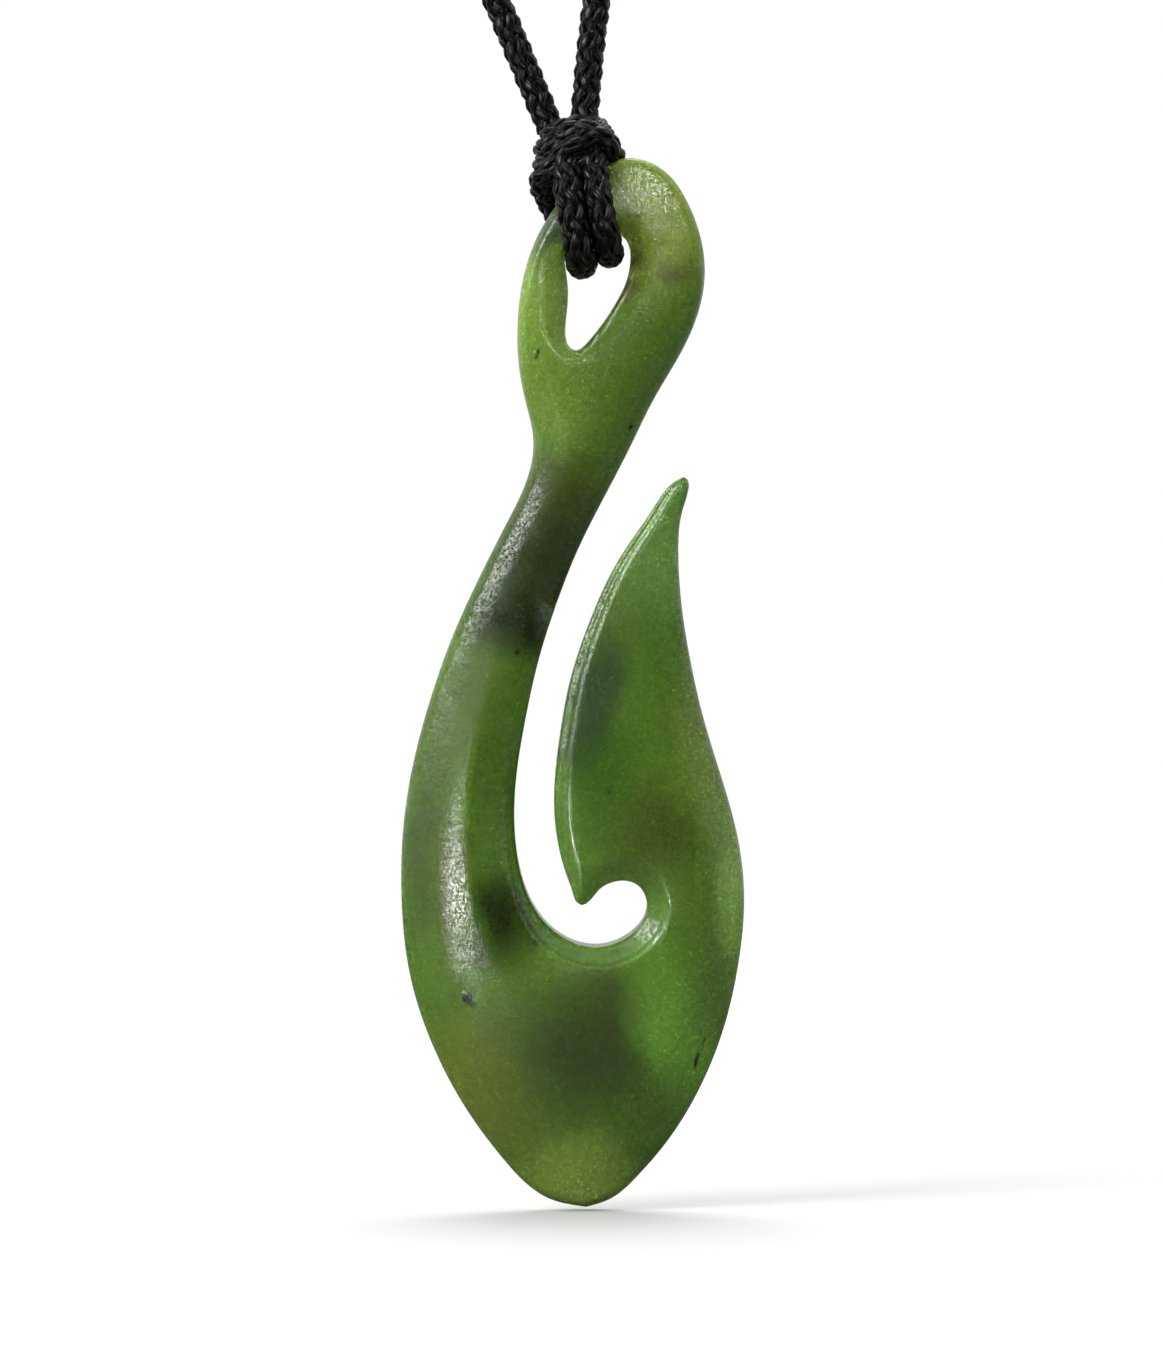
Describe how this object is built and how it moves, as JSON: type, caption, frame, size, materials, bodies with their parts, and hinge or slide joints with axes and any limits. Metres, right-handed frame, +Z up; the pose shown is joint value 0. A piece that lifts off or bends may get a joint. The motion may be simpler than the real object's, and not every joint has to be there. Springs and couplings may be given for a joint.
{
  "type": "stone hook pendant",
  "caption": "Carved green stone hook pendant with a teardrop eye, curled slot and pointed inner blade, tied by looped cord and a wrapped knot to a braided black neck cord.",
  "frame": {"origin": "the nape, in the middle of the closing knot, where the necklace hangs on the neck", "axes": "+Z up, +X to the right seen from the front, +Y from the pendant towards the nape"},
  "size_m": [0.118, 0.1252, 0.2317],
  "materials": {
    "green_stone": "satin polished, faintly translucent",
    "black_cord": "waxed braid"
  },
  "bodies": {
    "cord": {"neck_cord_left": "black_cord", "neck_cord_right": "black_cord", "closing_knot": "black_cord", "tie_knot": "black_cord", "eye_loop_left": "black_cord", "eye_loop_right": "black_cord"},
    "hook": {"hook_stone": "green_stone"}
  },
  "joints": [
    {"name": "hook_swing", "type": "hinge", "parent": "cord", "child": "hook", "pos_m": [0.00127, -0.118, -0.1622], "axis": [1, 0, 0], "range_deg": [-12, 12]}
  ]
}
